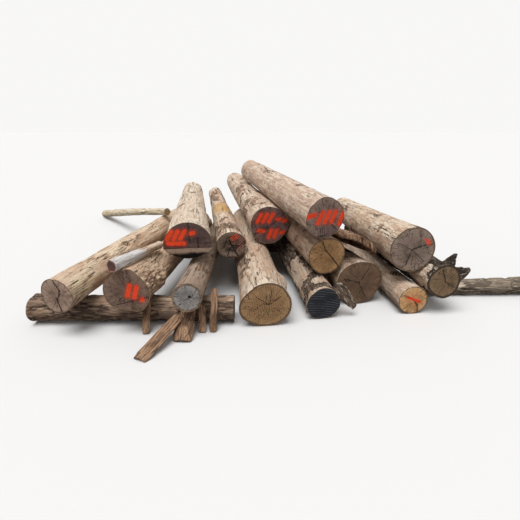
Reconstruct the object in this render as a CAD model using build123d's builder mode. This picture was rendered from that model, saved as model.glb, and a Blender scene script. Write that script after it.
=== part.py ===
from build123d import *

import math
import os

import numpy as np

# A heap of felled logs as they lie at the edge of a clearing: sawn logs fanned over rough bearer logs,
# with two poles, a split slab and loose bark. Each piece is drawn facing its front end, x to the right
# and y up, and runs back along -z. It is then laid down, from the ground up, on what is already there.

# Lengths that the logs were cut to
log_length = 2100
long_log_length = 2400
front_bearer_length = 1580
back_bearer_length = 1600
pole_length = 2700
white_pole_length = 580
knobby_length = 950
slab_length = 1550

# Diameters at the front end and at the back end
front_bearer_butt = 222
front_bearer_tip = 214
right_bearer_butt = 130
right_bearer_tip = 195
back_bearer_butt = 290
back_bearer_tip = 165
long_peeled_butt = 262
long_peeled_tip = 225
root_flare_butt = 300
root_flare_tip = 235
grey_end_butt = 226
grey_end_tip = 190
centre_butt_butt = 370
centre_butt_tip = 285
black_end_butt = 284
black_end_tip = 225
oval_end_butt = 390
oval_end_tip = 300
slender_butt = 250
slender_tip = 205
thick_bark_butt = 290
thick_bark_tip = 245
white_pole_butt = 94
white_pole_tip = 70
tan_cracked_butt = 322
tan_cracked_tip = 245
lichen_butt = 262
lichen_tip = 180
notched_butt = 378
notched_tip = 235
top_middle_butt = 365
top_middle_tip = 255
top_right_butt = 326
top_right_tip = 255
checked_end_butt = 378
checked_end_tip = 300
knobby_butt = 230
knobby_tip = 190
pole_butt = 80
pole_tip = 125

# The split slab and the loose bark
slab_width = 420
slab_thickness = 60
bark_thickness = 16
wide_bark_width = 150
strip_width = 62
long_strip_length = 330
short_strip_length = 210
left_strip_length = 250
leaning_bark_length = 450
short_bark_length = 260

# How the pieces lie on each other; their places on the ground are given in steps of plan_step
plan_step = 100
rest_gap = 0.45
lean_gap = 1.1
drop_height = 2000
lean_reach = 500
slide_rounds = 14
slope_rounds = 60
steepest_slope = 3.0
grid_step = 5.0
edge_step = 6.0
mesh_tolerance = 0.1
mesh_angle = 0.25
settle_rounds = 5
yard_low = (-3400, -1000)
yard_high = (4600, 5200)

# How round timber is drawn
outline_points = 20
least_station_gap = 20

os.makedirs("parts", exist_ok=True)


def round_outline(width, height, lobes, knots, station):
    """Points around one cross-section. Lobes are (count, share of the radius, bearing of a crest), knots
    are (station, bearing, reach, rise); bearings are in degrees from the right, counter-clockwise."""
    points = []
    for index in range(outline_points):
        angle = 2 * math.pi * index / outline_points
        swell = 1.0
        for count, share, bearing in lobes:
            swell += share * math.cos(count * (angle - math.radians(bearing)))
        radius = swell * width * height / 2 / math.hypot(height * math.cos(angle), width * math.sin(angle))
        for at, bearing, reach, rise in knots:
            off = math.remainder(angle - math.radians(bearing), 2 * math.pi) * radius
            radius += rise * math.exp(-2 * (off**2 + (station - at) ** 2) / reach**2)
        points.append((radius * math.cos(angle), radius * math.sin(angle)))
    return points


def stations_along(length, flare_length, knots):
    stations = {0.0, length}
    stations.update(flare_length * share for share in (0.25, 0.5, 1.0))
    stations.update(length * share for share in (0.35, 0.6, 0.8))
    for at, _, reach, _ in knots:
        stations.update(at + reach * share for share in (-1.3, -0.7, 0, 0.7, 1.3))
    kept = [0.0]
    for station in sorted(stations):
        if kept[-1] + least_station_gap < station < length - least_station_gap:
            kept.append(station)
    return kept + [length]


def draw_log(length, butt, tip, flare=(1.0, 1.0), flare_length=300, lobes=(), knots=(), bow=(0, 0), cuts=()):
    """Round timber. Butt and tip are diameters, flare widens the butt's width and height, bow is how far
    the middle stands off to the right and up. Cuts are planes, and what is in front of one is sawn off."""
    with BuildPart() as log:
        for station in stations_along(length, flare_length, knots):
            share = station / length
            diameter = butt + (tip - butt) * share
            fade = math.exp(-2.2 * station / flare_length)
            width = diameter * (1 + (flare[0] - 1) * fade)
            height = diameter * (1 + (flare[1] - 1) * fade)
            sag = 4 * share * (1 - share)
            outline = round_outline(width, height, lobes, knots, station)
            with BuildSketch(Plane.XY.offset(-station)):
                with BuildLine():
                    Spline(*[(x + bow[0] * sag, y + bow[1] * sag) for x, y in outline], periodic=True)
                make_face()
        loft(ruled=True)
        for cut in cuts:
            split(bisect_by=cut, keep=Keep.BOTTOM)
    return log


def saw_cut(depth, turn=0.0, lean=0.0, height=0.0):
    """A cut across the front end: turn swings it to the right, lean tips its top back, in degrees."""
    facing = Vector(math.tan(math.radians(turn)), math.tan(math.radians(lean)), 1)
    return Plane(origin=(0, height, -depth), z_dir=facing)


def draw_slab(length, width, thickness, rise, tip_share=0.8, roll=0.0):
    """A curved slab of bark or split wood, arched by rise across its width and rolled to one side."""
    with BuildPart() as slab:
        for share, scale in ((0.0, 0.82), (0.12, 1.0), (0.6, 0.95), (1.0, tip_share)):
            half = width * scale / 2
            inner = half * 0.96
            skirt = -thickness * 0.7
            crown = rise * scale
            with BuildSketch(Plane(origin=(0, 0, -length * share)).rotated((0, 0, roll))):
                with BuildLine():
                    ThreePointArc((-half, 0), (0, crown), (half, 0))
                    Line((half, 0), (inner, skirt))
                    ThreePointArc((inner, skirt), (0, crown - thickness), (-inner, skirt))
                    Line((-inner, skirt), (-half, 0))
                make_face()
        loft(ruled=True)
    return slab


def axes_of(heading, pitch):
    across = math.radians(heading)
    climb = math.radians(pitch)
    along = np.array(
        (math.sin(across) * math.cos(climb), math.cos(across) * math.cos(climb), math.sin(climb))
    )
    right = np.array((math.cos(across), -math.sin(across), 0.0))
    return right, np.cross(-along, right), along


def lowest_line(stations, needed, centre):
    """The lowest straight line over what each station needs, judged at the centre of gravity."""
    low, high = -steepest_slope, steepest_slope
    for _ in range(slope_rounds):
        left = low + (high - low) / 3
        right = high - (high - low) / 3
        left_height = (needed - stations * left).max() + centre * left
        right_height = (needed - stations * right).max() + centre * right
        if left_height < right_height:
            high = right
        else:
            low = left
    slope = (low + high) / 2
    return (needed - stations * slope).max(), slope


class Field:
    """Heights on a square grid over the yard, or over a window of it."""

    def __init__(self, first, heights):
        self.first = np.array(first)
        self.heights = heights

    @classmethod
    def over(cls, points, triangles, choose):
        """The top of a mesh, with np.fmax, or its underside, with np.fmin."""
        first = np.floor((points[:, :2].min(0) - yard_low) / grid_step).astype(int) - 1
        last = np.ceil((points[:, :2].max(0) - yard_low) / grid_step).astype(int) + 1
        field = cls(first, np.full(last - first + 1, np.nan))
        corners = points[triangles]
        lows = np.ceil((corners[:, :, :2].min(1) - yard_low) / grid_step).astype(int)
        highs = np.floor((corners[:, :, :2].max(1) - yard_low) / grid_step).astype(int) + 1
        for corner, low, high in zip(corners, lows, highs):
            if (low >= high).any():
                continue
            (xa, ya, za), (xb, yb, zb), (xc, yc, zc) = corner
            area = (yb - yc) * (xa - xc) + (xc - xb) * (ya - yc)
            if abs(area) < 1e-6:
                continue
            x = (yard_low[0] + grid_step * np.arange(low[0], high[0]))[:, None] - xc
            y = (yard_low[1] + grid_step * np.arange(low[1], high[1]))[None, :] - yc
            a = ((yb - yc) * x + (xc - xb) * y) / area
            b = ((yc - ya) * x + (xa - xc) * y) / area
            inside = (a >= 0) & (b >= 0) & (a + b <= 1)
            low, high = low - first, high - first
            block = field.heights[low[0] : high[0], low[1] : high[1]]
            block[inside] = choose(block, zc + a * (za - zc) + b * (zb - zc))[inside]
        return field

    def window(self, other):
        """The heights of this field on the grid points of a smaller one."""
        low = other.first - self.first
        high = low + other.heights.shape
        return self.heights[low[0] : high[0], low[1] : high[1]]

    def at(self, points):
        """Heights between the grid points; what is off the field is not a number."""
        cell = (points[:, :2] - yard_low) / grid_step - self.first
        whole = np.floor(cell).astype(int)
        part = cell - whole
        outside = ((whole < 0) | (whole > np.array(self.heights.shape) - 2)).any(1)
        whole[outside] = 0
        column, row = whole[:, 0], whole[:, 1]
        across, ahead = part[:, 0], part[:, 1]
        near = self.heights[column, row] * (1 - ahead) + self.heights[column, row + 1] * ahead
        far = self.heights[column + 1, row] * (1 - ahead) + self.heights[column + 1, row + 1] * ahead
        heights = near * (1 - across) + far * across
        heights[outside] = np.nan
        return heights


class Piece:
    """A drawn piece as points in its own frame: its skin's triangles, and points along its edges."""

    def __init__(self, solid):
        vertices, triangles = solid.tessellate(mesh_tolerance, mesh_angle)
        self.vertices = np.array([tuple(vertex) for vertex in vertices])
        self.triangles = np.array(triangles)
        edges = []
        for edge in solid.edges():
            count = math.ceil(edge.length / edge_step) + 1
            edges.extend(tuple(edge.position_at(index / (count - 1))) for index in range(count))
        self.edges = np.array(edges)
        self.centre = -solid.center().Z

    def placed(self, origin, heading, pitch):
        right, up, along = axes_of(heading, pitch)
        turn = np.array((right, up, -along))
        points = self.vertices @ turn + origin
        first, second, third = (points[self.triangles[:, index]] for index in range(3))
        rising = np.cross(second - first, third - first)[:, 2] > 0
        return points, rising, self.edges @ turn + origin


class Heap:
    def __init__(self):
        shape = np.ceil((np.array(yard_high) - yard_low) / grid_step).astype(int) + 1
        self.top = Field((0, 0), np.zeros(shape))
        self.edges = np.zeros((0, 3))
        self.laid = {}

    def clearance(self, piece, origin, heading, pitch):
        """Where the piece is above what lies below it: points, and the height between the two."""
        points, rising, edges = piece.placed(origin, heading, pitch)
        underside = Field.over(points, piece.triangles[~rising], np.fmin)
        clear = underside.heights - self.top.window(underside)
        column, row = np.nonzero(~np.isnan(clear))
        cells = np.stack((column, row), 1) + underside.first
        over_laid = underside.at(self.edges) - self.edges[:, 2]
        met = ~np.isnan(over_laid)
        over_edges = edges[:, 2] - self.top.at(edges)
        at = np.concatenate((yard_low + grid_step * cells, self.edges[met, :2], edges[:, :2]))
        return at, np.concatenate((clear[column, row], over_laid[met], over_edges))

    def lay(self, name, drawn, x, y, heading, pitch=0.0):
        """Lets a piece down with its front end over x, y until it rests before and behind its middle."""
        piece = Piece(drawn.part)
        origin = np.array((x * plan_step, y * plan_step, drop_height), dtype=float)
        for _ in range(settle_rounds):
            at, clear = self.clearance(piece, origin, heading, pitch)
            along = axes_of(heading, 0)[2][:2]
            stations = (at - origin[:2]) @ along
            middle = piece.centre * math.cos(math.radians(pitch))
            rise, slope = lowest_line(stations, rest_gap - clear, middle)
            origin[2] += rise
            pitch = math.degrees(math.atan(math.tan(math.radians(pitch)) + slope))
        at, clear = self.clearance(piece, origin, heading, pitch)
        origin[2] += rest_gap - clear.min()
        self.keep(name, drawn, piece, origin, heading, pitch)

    def lean(self, name, drawn, x, y, heading, pitch):
        """Stands a piece on the ground in front of the heap, and slides it back until it leans."""
        piece = Piece(drawn.part)
        origin = np.array((x * plan_step, y * plan_step, rest_gap))
        origin[2] -= piece.placed((0, 0, 0), heading, pitch)[0][:, 2].min()
        near, far = origin[1] - lean_reach, origin[1] + lean_reach
        for _ in range(slide_rounds):
            origin[1] = (near + far) / 2
            at, clear = self.clearance(piece, origin, heading, pitch)
            if (clear[self.top.at(at) > 0] < lean_gap).any():
                far = origin[1]
            else:
                near = origin[1]
        origin[1] = near
        self.keep(name, drawn, piece, origin, heading, pitch)

    def keep(self, name, drawn, piece, origin, heading, pitch):
        points, rising, edges = piece.placed(origin, heading, pitch)
        top = Field.over(points, piece.triangles[rising], np.fmax)
        below = self.top.window(top)
        below[:] = np.fmax(below, top.heights)
        self.edges = np.concatenate((self.edges, edges))
        right, _, along = axes_of(heading, pitch)
        plane = Plane(origin=tuple(origin), x_dir=tuple(right), z_dir=tuple(-along))
        self.laid[name] = drawn.part.moved(plane.location)
        print(f"{name:22s} x {origin[0]:6.0f} y {origin[1]:6.0f} z {origin[2]:5.0f} pitch {pitch:5.1f}")


heap = Heap()

# Bearers
front_bearer = draw_log(
    front_bearer_length,
    front_bearer_butt,
    front_bearer_tip,
    flare=(1.12, 1.0),
    lobes=((3, 0.04, 20), (2, 0.02, 0)),
)
heap.lay("front_bearer_log", front_bearer, x=-17.8, y=-0.15, heading=90)
right_bearer = draw_log(log_length, right_bearer_butt, right_bearer_tip, lobes=((3, 0.05, 20),))
heap.lay("right_bearer_log", right_bearer, x=14.5, y=4.7, heading=88)
back_bearer = draw_log(back_bearer_length, back_bearer_butt, back_bearer_tip)
heap.lay("back_bearer_log", back_bearer, x=-13.5, y=log_length / plan_step - 4, heading=90)

# Loose bark on the front bearer
long_strip = draw_slab(long_strip_length, strip_width, bark_thickness, rise=12)
heap.lean("bark_strip_long", long_strip, x=-3.5, y=-4, heading=2, pitch=62)
short_strip = draw_slab(short_strip_length, strip_width, bark_thickness, rise=10)
heap.lean("bark_strip_short", short_strip, x=-4.3, y=-4, heading=-4, pitch=60)
left_strip = draw_slab(left_strip_length, strip_width, bark_thickness, rise=12)
heap.lean("bark_strip_left", left_strip, x=-8.5, y=-4, heading=-3, pitch=55)
short_bark = draw_slab(short_bark_length, wide_bark_width, bark_thickness, rise=28)
heap.lean("bark_slab_short", short_bark, x=-5.6, y=-4, heading=4, pitch=32)
leaning_bark = draw_slab(leaning_bark_length, wide_bark_width * 0.8, bark_thickness, rise=22)
heap.lean("bark_slab_leaning", leaning_bark, x=-8, y=-5, heading=27, pitch=16)

# Lowest sawn logs
centre_butt = draw_log(
    log_length,
    centre_butt_butt,
    centre_butt_tip,
    flare=(1.1, 1.04),
    lobes=((2, 0.02, 30), (3, 0.03, 200)),
    knots=((260, 20, 110, 45),),
)
heap.lay("centre_butt_log", centre_butt, x=0.5, y=-1.3, heading=-7)
black_end = draw_log(log_length, black_end_butt, black_end_tip, lobes=((3, 0.02, 90),))
heap.lay("black_end_log", black_end, x=5.1, y=-0.05, heading=-10)
slender = draw_log(log_length, slender_butt, slender_tip, lobes=((2, 0.02, 0),))
heap.lay("slender_right_log", slender, x=12.6, y=0.95, heading=-7)
oval_end = draw_log(log_length, oval_end_butt, oval_end_tip, flare=(1.07, 0.99), lobes=((3, 0.03, 150),))
heap.lay("oval_end_log", oval_end, x=8.6, y=2.85, heading=-13)

# On the bearers
long_peeled_lobes = ((2, 0.03, 100), (3, 0.03, 0))
long_peeled = draw_log(long_log_length, long_peeled_butt, long_peeled_tip, lobes=long_peeled_lobes)
heap.lay("long_peeled_log", long_peeled, x=-14.25, y=-3.05, heading=11)
root_flare = draw_log(
    log_length,
    root_flare_butt,
    root_flare_tip,
    flare=(1.2, 1.08),
    flare_length=260,
    lobes=((3, 0.05, 80), (5, 0.03, 10)),
    knots=((330, 350, 110, 40), (520, 20, 90, 30)),
)
heap.lay("root_flare_log", root_flare, x=-9.45, y=-2.65, heading=7)
grey_end = draw_log(log_length, grey_end_butt, grey_end_tip, lobes=((2, 0.02, 60),))
heap.lay("grey_end_log", grey_end, x=-5.15, y=-2.9, heading=1)
thick_bark = draw_log(log_length, thick_bark_butt, thick_bark_tip, lobes=((3, 0.03, 60),))
heap.lay("thick_bark_log", thick_bark, x=14.8, y=0.8, heading=-7)

# Second layer
white_pole = draw_log(white_pole_length, white_pole_butt, white_pole_tip, flare_length=150)
heap.lay("white_bark_pole", white_pole, x=-10.15, y=-3, heading=20)
tan_cracked = draw_log(log_length, tan_cracked_butt, tan_cracked_tip, lobes=((3, 0.02, 30),))
heap.lay("tan_cracked_log", tan_cracked, x=5.55, y=2.3, heading=-14)
lichen = draw_log(log_length, lichen_butt, lichen_tip, flare=(1.04, 0.96), knots=((900, 100, 160, 14),))
heap.lay("lichen_log", lichen, x=-2.45, y=4.75, heading=-10)
notch_roof = saw_cut(0, lean=-48, height=-30)
notched = draw_log(log_length, notched_butt, notched_tip, lobes=((2, 0.02, 0),), cuts=(notch_roof,))
heap.lay("notched_butt_log", notched, x=-5.55, y=0.9, heading=-8)

# Split slab over the gap beside the ochre end
split_slab = draw_slab(slab_length, slab_width, slab_thickness, rise=60, roll=-27)
heap.lay("furrowed_bark_slab", split_slab, x=8.5, y=3.1, heading=-9)

# Top layer
top_middle = draw_log(
    log_length,
    top_middle_butt,
    top_middle_tip,
    lobes=((3, 0.02, 250),),
    knots=((430, 140, 110, 22),),
)
heap.lay("top_middle_log", top_middle, x=0.92, y=7.15, heading=-12)
top_right = draw_log(log_length, top_right_butt, top_right_tip, lobes=((3, 0.02, 100),))
heap.lay("top_right_log", top_right, x=5.05, y=1.15, heading=-17)
checked_end = draw_log(log_length, checked_end_butt, checked_end_tip, lobes=((2, 0.015, 40),))
heap.lay("checked_end_log", checked_end, x=12.4, y=1.95, heading=-4)

# Behind
knobby = draw_log(
    knobby_length,
    knobby_butt,
    knobby_tip,
    flare=(0.85, 0.85),
    flare_length=80,
    knots=((200, 80, 70, 22), (380, 10, 60, 18), (560, 130, 80, 24), (760, 60, 70, 18)),
)
heap.lay("knobby_back_log", knobby, x=6.6, y=17.4, heading=-24)
peeled_pole = draw_log(pole_length, pole_butt, pole_tip, flare_length=200, bow=(25, 10))
heap.lay("peeled_pole", peeled_pole, x=-10.1, y=14, heading=-35.7)

# The frame stands at the middle of the heap's box, on the ground
boxes = [solid.bounding_box() for solid in heap.laid.values()]
low = [min(tuple(box.min)[axis] for box in boxes) for axis in range(3)]
high = [max(tuple(box.max)[axis] for box in boxes) for axis in range(3)]
middle = Location((-(low[0] + high[0]) / 2, -(low[1] + high[1]) / 2, -low[2]))
for name, solid in heap.laid.items():
    placed = solid.moved(middle)
    placed.label = name
    export_step(placed, f"parts/{name}.step")
print("box", [round(b - a) for a, b in zip(low, high)], "middle", [round(v, 1) for v in middle.position])
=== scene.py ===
import math

import bpy
import numpy as np
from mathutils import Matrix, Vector
from mathutils.bvhtree import BVHTree


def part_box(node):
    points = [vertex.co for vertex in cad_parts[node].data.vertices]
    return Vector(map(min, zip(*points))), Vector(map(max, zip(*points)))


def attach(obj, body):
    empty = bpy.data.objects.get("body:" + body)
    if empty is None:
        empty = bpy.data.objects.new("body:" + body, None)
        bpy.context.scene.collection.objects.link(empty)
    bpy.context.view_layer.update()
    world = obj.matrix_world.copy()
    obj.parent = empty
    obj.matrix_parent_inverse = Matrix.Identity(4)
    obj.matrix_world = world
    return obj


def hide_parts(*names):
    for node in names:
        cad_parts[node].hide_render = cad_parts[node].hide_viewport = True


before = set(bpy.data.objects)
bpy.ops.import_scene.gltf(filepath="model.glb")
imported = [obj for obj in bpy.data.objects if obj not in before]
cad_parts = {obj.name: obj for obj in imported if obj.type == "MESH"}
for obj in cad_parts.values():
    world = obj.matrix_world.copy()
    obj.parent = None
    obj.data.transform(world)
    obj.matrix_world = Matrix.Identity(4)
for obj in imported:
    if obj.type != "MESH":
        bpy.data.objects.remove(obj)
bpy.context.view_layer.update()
print("stage: frame loaded")

# Camera, in front of the heap, placed from the front bearer's left end
eyeHeight = 1.5  # a standing person's
eyeToTheRight = 1.785
eyeInFront = 2.66
eyeTilt = math.radians(70.5)

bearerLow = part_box("front_bearer_log")[0]
cameraData = bpy.data.cameras.new("camera")
cameraData.sensor_width = 36.0
cameraData.lens = 27.0
cameraData.clip_end = 200.0
camera = bpy.data.objects.new("camera", cameraData)
camera.location = (bearerLow[0] + eyeToTheRight, bearerLow[1] - eyeInFront, eyeHeight)
camera.rotation_euler = (eyeTilt, 0.0, 0.0)
bpy.context.collection.objects.link(camera)
bpy.context.scene.camera = camera


# A shader socket that is worked with like a number
class Wire:
    def __init__(self, graph, socket):
        self.graph = graph
        self.socket = socket

    def __add__(self, other):
        return self.graph.math("ADD", self, other)

    def __radd__(self, other):
        return self.graph.math("ADD", other, self)

    def __sub__(self, other):
        return self.graph.math("SUBTRACT", self, other)

    def __rsub__(self, other):
        return self.graph.math("SUBTRACT", other, self)

    def __mul__(self, other):
        return self.graph.math("MULTIPLY", self, other)

    def __rmul__(self, other):
        return self.graph.math("MULTIPLY", other, self)

    def __truediv__(self, other):
        return self.graph.math("DIVIDE", self, other)

    def __rtruediv__(self, other):
        return self.graph.math("DIVIDE", other, self)

    def __neg__(self):
        return self.graph.math("MULTIPLY", self, -1.0)

    def low(self, other):
        return self.graph.math("MINIMUM", self, other)

    def high(self, other):
        return self.graph.math("MAXIMUM", self, other)

    def power(self, other):
        return self.graph.math("POWER", self, other)

    def size(self):
        return self.graph.math("ABSOLUTE", self)

    def sine(self):
        return self.graph.math("SINE", self)

    # 0 up to start, 1 from end on, and a smooth rise between; start may be the larger one
    def ramp(self, start, end):
        inputs = {"Value": self, "From Min": start, "From Max": end}
        return self.graph.node("ShaderNodeMapRange", {"interpolation_type": "SMOOTHSTEP"}, inputs)


class Graph:
    def __init__(self, tree):
        self.tree = tree

    def plug(self, target, value):
        if isinstance(value, Wire):
            self.tree.links.new(value.socket, target)
        elif hasattr(target.default_value, "__len__") and len(value) < len(target.default_value):
            target.default_value = (*value, 1.0)
        else:
            target.default_value = value

    def node(self, kind, settings=None, inputs=None, output=0):
        made = self.tree.nodes.new(kind)
        for key, value in (settings or {}).items():
            setattr(made, key, value)
        for key, value in (inputs or {}).items():
            self.plug(made.inputs[key], value)
        return Wire(self, made.outputs[output]) if made.outputs else None

    def math(self, operation, *values):
        return self.node("ShaderNodeMath", {"operation": operation}, dict(enumerate(values)))

    def attribute(self, name):
        return self.node("ShaderNodeAttribute", {"attribute_name": name}, output="Vector")

    def parts(self, vector):
        first = self.node("ShaderNodeSeparateXYZ", {}, {0: vector})
        return [Wire(self, socket) for socket in first.socket.node.outputs]

    def join(self, x, y, z):
        return self.node("ShaderNodeCombineXYZ", {}, {"X": x, "Y": y, "Z": z})

    def span(self, vector):
        return self.node("ShaderNodeVectorMath", {"operation": "LENGTH"}, {0: vector}, output=1)

    def noise(self, place, scale, detail, roughness=0.55, distortion=0.0):
        inputs = {"Vector": place, "Scale": scale, "Detail": detail}
        inputs |= {"Roughness": roughness, "Distortion": distortion}
        return self.node("ShaderNodeTexNoise", {}, inputs)

    # The colour sockets of a Mix node go by number: 6 and 7 in, 2 out
    def mix(self, share, first, second):
        inputs = {"Factor": share, 6: first, 7: second}
        return self.node("ShaderNodeMix", {"data_type": "RGBA"}, inputs, output=2)

    # 1 where a ray from the camera, a mirror or a glass lands, 0 for light that bounces about
    def shown(self):
        rays = ("Is Camera Ray", "Is Glossy Ray", "Is Transmission Ray")
        camera, glossy, through = (self.node("ShaderNodeLightPath", output=ray) for ray in rays)
        return camera.high(glossy).high(through)


class Shader(Graph):
    def __init__(self, name, roughness=0.85):
        self.material = bpy.data.materials.new(name)
        self.material.use_nodes = True
        super().__init__(self.material.node_tree)
        self.surface = self.tree.nodes["Principled BSDF"]
        self.surface.inputs["Roughness"].default_value = roughness
        self.surface.inputs["Specular IOR Level"].default_value = 0.25  # dry wood has little gloss

    def finish(self, color, roughness, height, distance):
        self.plug(self.surface.inputs["Base Color"], color)
        self.plug(self.surface.inputs["Roughness"], roughness)
        inputs = {"Height": height, "Strength": 1.0, "Distance": distance}
        self.plug(self.surface.inputs["Normal"], self.node("ShaderNodeBump", {}, inputs))
        return self.material


# Smooth random fields over a log's side: rows go round it and close up, columns go along it
def randomField(rng, rows, columns, around, along):
    coarse = rng.random((max(around, 3), max(along, 2) + 1))
    u = np.arange(rows) / rows * coarse.shape[0]
    v = np.linspace(0, coarse.shape[1] - 1.001, columns)
    i, j = np.floor(u).astype(int), np.floor(v).astype(int)
    a = (1 - np.cos((u - i) * math.pi)) / 2
    b = (1 - np.cos((v - j) * math.pi)) / 2
    near = coarse[i % coarse.shape[0]]
    far = coarse[(i + 1) % coarse.shape[0]]
    rowsField = near * (1 - a[:, None]) + far * a[:, None]
    return rowsField[:, j] * (1 - b) + rowsField[:, j + 1] * b


# The same, with finer and fainter fields added on top
def layered(rng, rows, columns, around, along, layers, fade):
    total = np.zeros((rows, columns))
    weight = 0.0
    for layer in range(layers):
        total += fade**layer * randomField(rng, rows, columns, around * 2**layer, along * 2**layer)
        weight += fade**layer
    return total / weight


def step(values, start, end):
    share = np.clip((values - start) / (end - start), 0, 1)
    return share * share * (3 - 2 * share)


# Shares of a log's length, closer together towards the front face
def crowdedToFront(columns):
    return np.linspace(0, 1, columns) ** 1.25


def anglesAround(rows):
    return np.arange(rows)[:, None] * 2 * math.pi / rows


# How far an angle is from a bearing, by the shorter way round
def turnFrom(angles, bearing):
    return np.remainder(angles - bearing + math.pi, 2 * math.pi) - math.pi


def readTriples(items, key, kind=float):
    flat = np.empty(len(items) * 3, dtype=kind)
    items.foreach_get(key, flat)
    return flat.reshape(-1, 3)


def merged(sheets):
    return np.concatenate([sheet.reshape(-1, 3) for sheet in sheets])


def unit(vector):
    return vector / np.linalg.norm(vector)


# How a log is read from its solid
endLooksOut = 0.85  # cosine between a sawn end and the log's run, at the least
sameFacing = 0.9998  # cosine between triangles of one flat face
samePlane = 0.002  # metres
justInside = 1e-4  # share of the length
feelers = 8  # rays that find the middle
feelerPull = 0.9
tracedRays = 60
tracedCuts = 36


# A log read back from its CAD solid: its two sawn ends, and how thick it is all along in every direction
class Stem:
    def __init__(self, node, across=False):
        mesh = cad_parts[node].data
        mesh.calc_loop_triangles()
        points = readTriples(mesh.vertices, "co")
        triangles = readTriples(mesh.loop_triangles, "vertices", np.int32)
        self.tree = BVHTree.FromPolygons(points.tolist(), triangles.tolist())
        first, second, third = (points[triangles[:, corner]] for corner in range(3))
        cross = np.cross(second - first, third - first)
        areas = np.linalg.norm(cross, axis=1)
        normals = cross / np.maximum(areas, 1e-12)[:, None]
        middles = (first + second + third) / 3
        spread = points - points.mean(0)
        axis = np.linalg.eigh(spread.T @ spread)[1][:, 2]  # the longest way through the points
        if axis[0 if across else 1] < 0:
            axis = -axis
        ends = []
        for outward in (-axis, axis):
            largest = np.argmax(areas * (normals @ outward > endLooksOut))
            facing = normals[largest]
            level = np.abs((middles - middles[largest]) @ facing) < samePlane
            weight = areas * ((normals @ facing > sameFacing) & level)
            ends.append(((middles * weight[:, None]).sum(0) / weight.sum(), facing))
        self.front = ends[0][0]
        self.run = ends[1][0] - self.front
        self.length = np.linalg.norm(self.run)
        self.planes = -ends[0][1], ends[1][1]

    # The cut across at a share of the length, turning from one end's plane to the other's
    def section(self, share):
        normal = unit(self.planes[0] * (1 - share) + self.planes[1] * share)
        right = unit(np.cross(normal, (0, 0, 1)))
        return normal, right, np.cross(right, normal)

    # How far the surface is, and how squarely it faces the front there
    def reach(self, centre, direction):
        hit = self.tree.ray_cast(Vector(centre), Vector(direction))
        if hit[3] is None:
            return 0.0, 0.0
        return hit[3], -hit[1].dot(Vector(self.run)) / self.length

    # The middle is carried on from cut to cut, so that it follows a bent log
    def trace(self, rows, shares):
        angles = np.arange(rows) * 2 * math.pi / rows
        radii, facings, centres = [], [], []
        strayed = np.zeros(3)
        for share in shares:
            inside = min(max(share, justInside), 1 - justInside)
            normal, right, up = self.section(inside)
            onLine = self.front + self.run * inside
            middle = onLine + strayed - normal * (strayed @ normal)
            rays = np.cos(angles)[:, None] * right + np.sin(angles)[:, None] * up
            for _ in range(2):
                few = rays[:: rows // feelers]
                pull = sum(self.reach(middle, ray)[0] * ray for ray in few)
                middle = middle + pull / feelers * feelerPull
            strayed = middle - onLine
            hits = [self.reach(middle, ray) for ray in rays]
            radii.append([hit[0] for hit in hits])
            facings.append([hit[1] for hit in hits])
            centres.append(middle + self.run * (share - inside))
        return np.array(radii).T, np.array(facings).T, np.array(centres)

    # A plain log is traced at fewer rays and cuts, and filled in between
    def outline(self, rows, shares, exact):
        tracedShares = shares if exact else crowdedToFront(tracedCuts)
        radii, facings, centres = self.trace(rows if exact else tracedRays, tracedShares)
        radii, facings = (resample(grid, rows, tracedShares, shares) for grid in (radii, facings))
        centres = np.stack([np.interp(shares, tracedShares, centres[:, k]) for k in range(3)], 1)
        return radii, facings, centres


def resample(grid, rows, shares, fineShares):
    coarseRows = grid.shape[0]
    along = np.stack([np.interp(fineShares, shares, grid[row]) for row in range(coarseRows)])
    u = np.arange(rows) / rows * coarseRows
    i = np.floor(u).astype(int)
    a = (u - i)[:, None]
    return along[i % coarseRows] * (1 - a) + along[(i + 1) % coarseRows] * a


def meshObject(name, points, faces, slots, materials, attributes):
    mesh = bpy.data.meshes.new(name)
    mesh.vertices.add(len(points))
    mesh.vertices.foreach_set("co", points.ravel())
    mesh.loops.add(faces.size)
    mesh.loops.foreach_set("vertex_index", faces.ravel())
    mesh.polygons.add(len(faces))
    mesh.polygons.foreach_set("loop_start", np.arange(len(faces)) * 4)
    mesh.polygons.foreach_set("material_index", slots)
    mesh.update(calc_edges=True)
    mesh.polygons.foreach_set("use_smooth", np.ones(len(faces), dtype=bool))
    for key, values in attributes.items():
        addAttribute(mesh, key, values)
    for material in materials:
        mesh.materials.append(material)
    piece = bpy.data.objects.new(name, mesh)
    bpy.context.collection.objects.link(piece)
    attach(piece, "root")
    return piece


def addAttribute(mesh, key, values):
    mesh.attributes.new(key, "FLOAT_VECTOR", "POINT").data.foreach_set("vector", values.ravel())


# Four-cornered faces over a sheet of points that closes up round its rows
def gridFaces(first, rows, columns, flip=False):
    row = np.arange(rows)[:, None]
    column = np.arange(columns - 1)[None, :]
    a = first + row * columns + column
    b = first + ((row + 1) % rows) * columns + column
    quads = np.stack((a, a + 1, b + 1, b), -1).reshape(-1, 4)
    return quads[:, ::-1] if flip else quads


# Depths and reaches of the carving, in metres
hollowDeep = 0.006
fibreDeep = 0.0016
knotDeep = 0.008
wornDeep = 0.006
raggedDeep = 0.004
deepest = 0.02  # what the materials take for fully deep
calmReach = 0.03  # the side is carved less so close to a sawn end
edgeDeep, edgeReach = 0.0018, 0.006  # the rounded edge of a sawn end
chipReach = 0.03
burlPlace = 0.2  # from the face
endDeep, endRimDeep = 0.003, 0.004


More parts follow.
